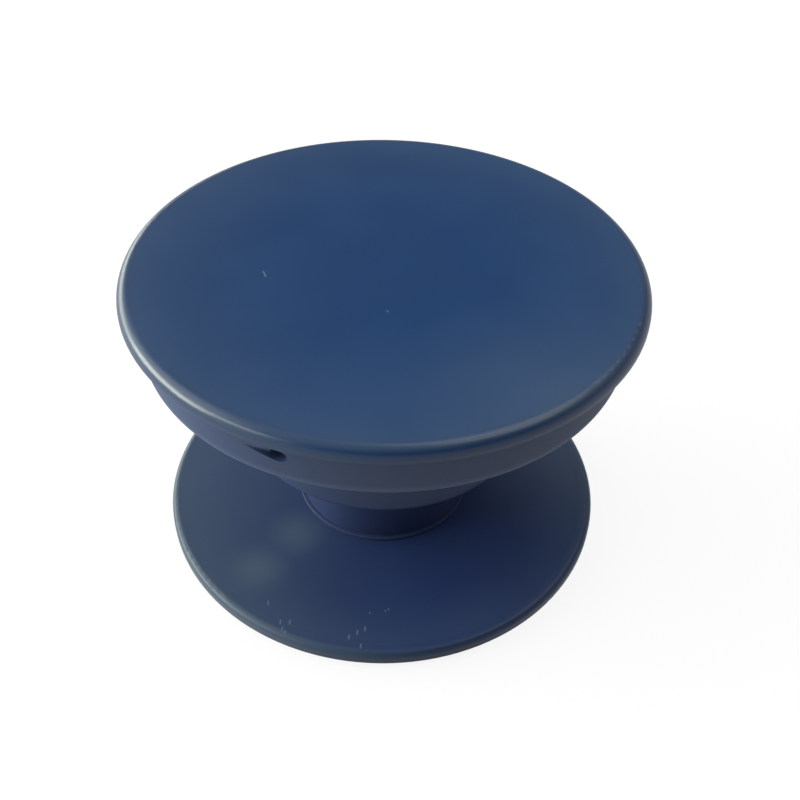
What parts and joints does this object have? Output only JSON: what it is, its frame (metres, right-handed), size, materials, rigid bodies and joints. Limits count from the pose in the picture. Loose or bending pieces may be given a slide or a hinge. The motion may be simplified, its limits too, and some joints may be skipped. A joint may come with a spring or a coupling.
{
  "type": "collapsible phone grip",
  "caption": "Round grip that sticks to the back of a phone: a wide cap on a stepped flexible neck that folds flat against a turning base disc.",
  "frame": {"origin": "centre of the adhesive face, the lowest face of the grip", "axes": "+Z along the neck from the phone towards the cap; the vent notch in the collar faces -Y, turned 25 degrees towards -X"},
  "size_m": [0.04, 0.04, 0.0251],
  "materials": {
    "blue_plastic": "satin moulded navy plastic",
    "blue_flexible_plastic": "satin flexible navy plastic",
    "grey_plastic": "plain moulded grey plastic",
    "black_foam": "matt adhesive foam"
  },
  "bodies": {
    "base": {"base_disc": "blue_plastic", "hub_plug": "grey_plastic", "adhesive_pad": "black_foam"},
    "neck": {"bellows": "blue_flexible_plastic"},
    "cap": {"top_disc": "blue_plastic"}
  },
  "joints": [
    {"name": "swivel", "type": "hinge", "parent": "base", "child": "neck", "pos_m": [0, 0, 0.0016], "axis": [0, 0, 1], "continuous": true},
    {"name": "collapse", "type": "slide", "parent": "neck", "child": "cap", "axis": [0, 0, 1], "range_m": [-0.0175, 0], "deforming": ["bellows"]}
  ]
}
